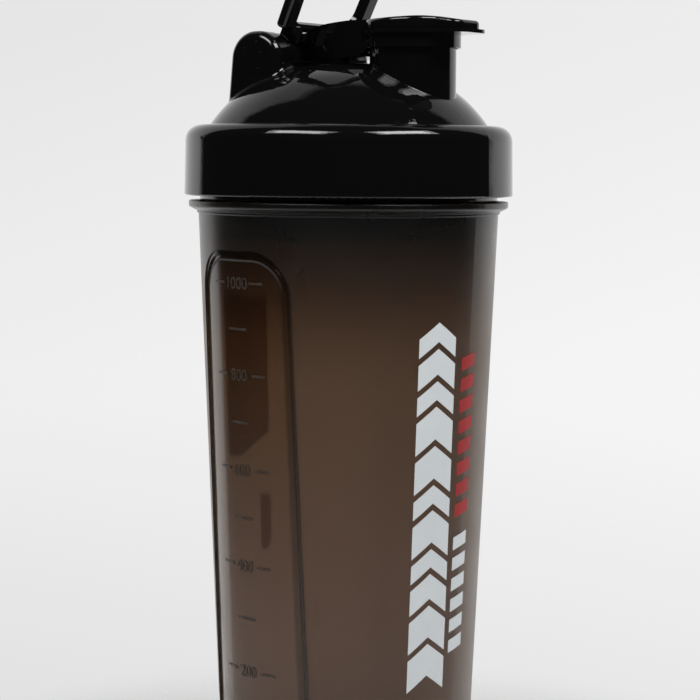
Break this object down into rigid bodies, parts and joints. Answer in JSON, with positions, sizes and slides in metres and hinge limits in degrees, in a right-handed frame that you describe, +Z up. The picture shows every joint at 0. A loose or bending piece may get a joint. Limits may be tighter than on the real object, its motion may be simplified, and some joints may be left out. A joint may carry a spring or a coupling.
{
  "type": "protein shaker bottle",
  "caption": "Tapered translucent cup with a screw-on domed lid, hinged flip cap over an offset spout, carry loop and mixing grid.",
  "frame": {"origin": "centre of the base, on the plane the bottle stands on", "axes": "+Z up along the cup's axis, +X towards the drinking spout, flip cap and loop hinge axis parallel to Y"},
  "size_m": [0.1094, 0.1094, 0.287],
  "materials": {
    "smoke_plastic": "frosted translucent smoke polypropylene, glossy in the grip panels",
    "grid_plastic": "satin moulded black",
    "gasket_rubber": "matt silicone",
    "lid_plastic": "high gloss black",
    "cap_plastic": "high gloss black",
    "seal_rubber": "matt silicone",
    "loop_plastic": "high gloss black"
  },
  "bodies": {
    "cup": {"cup": "smoke_plastic", "mixing_grid": "grid_plastic"},
    "gasket": {"lid_gasket": "gasket_rubber"},
    "lid": {"lid": "lid_plastic"},
    "flip": {"flip_cap": "cap_plastic", "spout_seal": "seal_rubber"},
    "loop": {"carry_loop": "loop_plastic"}
  },
  "joints": [
    {"name": "lid_lift", "type": "slide", "parent": "cup", "child": "gasket", "axis": [0, 0, 1], "range_m": [0, 0.005]},
    {"name": "lid_turn", "type": "hinge", "parent": "gasket", "child": "lid", "pos_m": [0, 0, 0.2], "axis": [0, 0, 1], "range_deg": [0, 400]},
    {"name": "flip_open", "type": "hinge", "parent": "lid", "child": "flip", "pos_m": [-0.0195, 0, 0.2423], "axis": [0, -1, 0], "range_deg": [0, 105]},
    {"name": "loop_swing", "type": "hinge", "parent": "flip", "child": "loop", "pos_m": [-0.0195, 0, 0.2423], "axis": [0, -1, 0], "range_deg": [0, 40]}
  ],
  "couplings": [
    {"joint": "lid_lift", "follows": "lid_turn", "m_per_rad": 0.0007162}
  ]
}
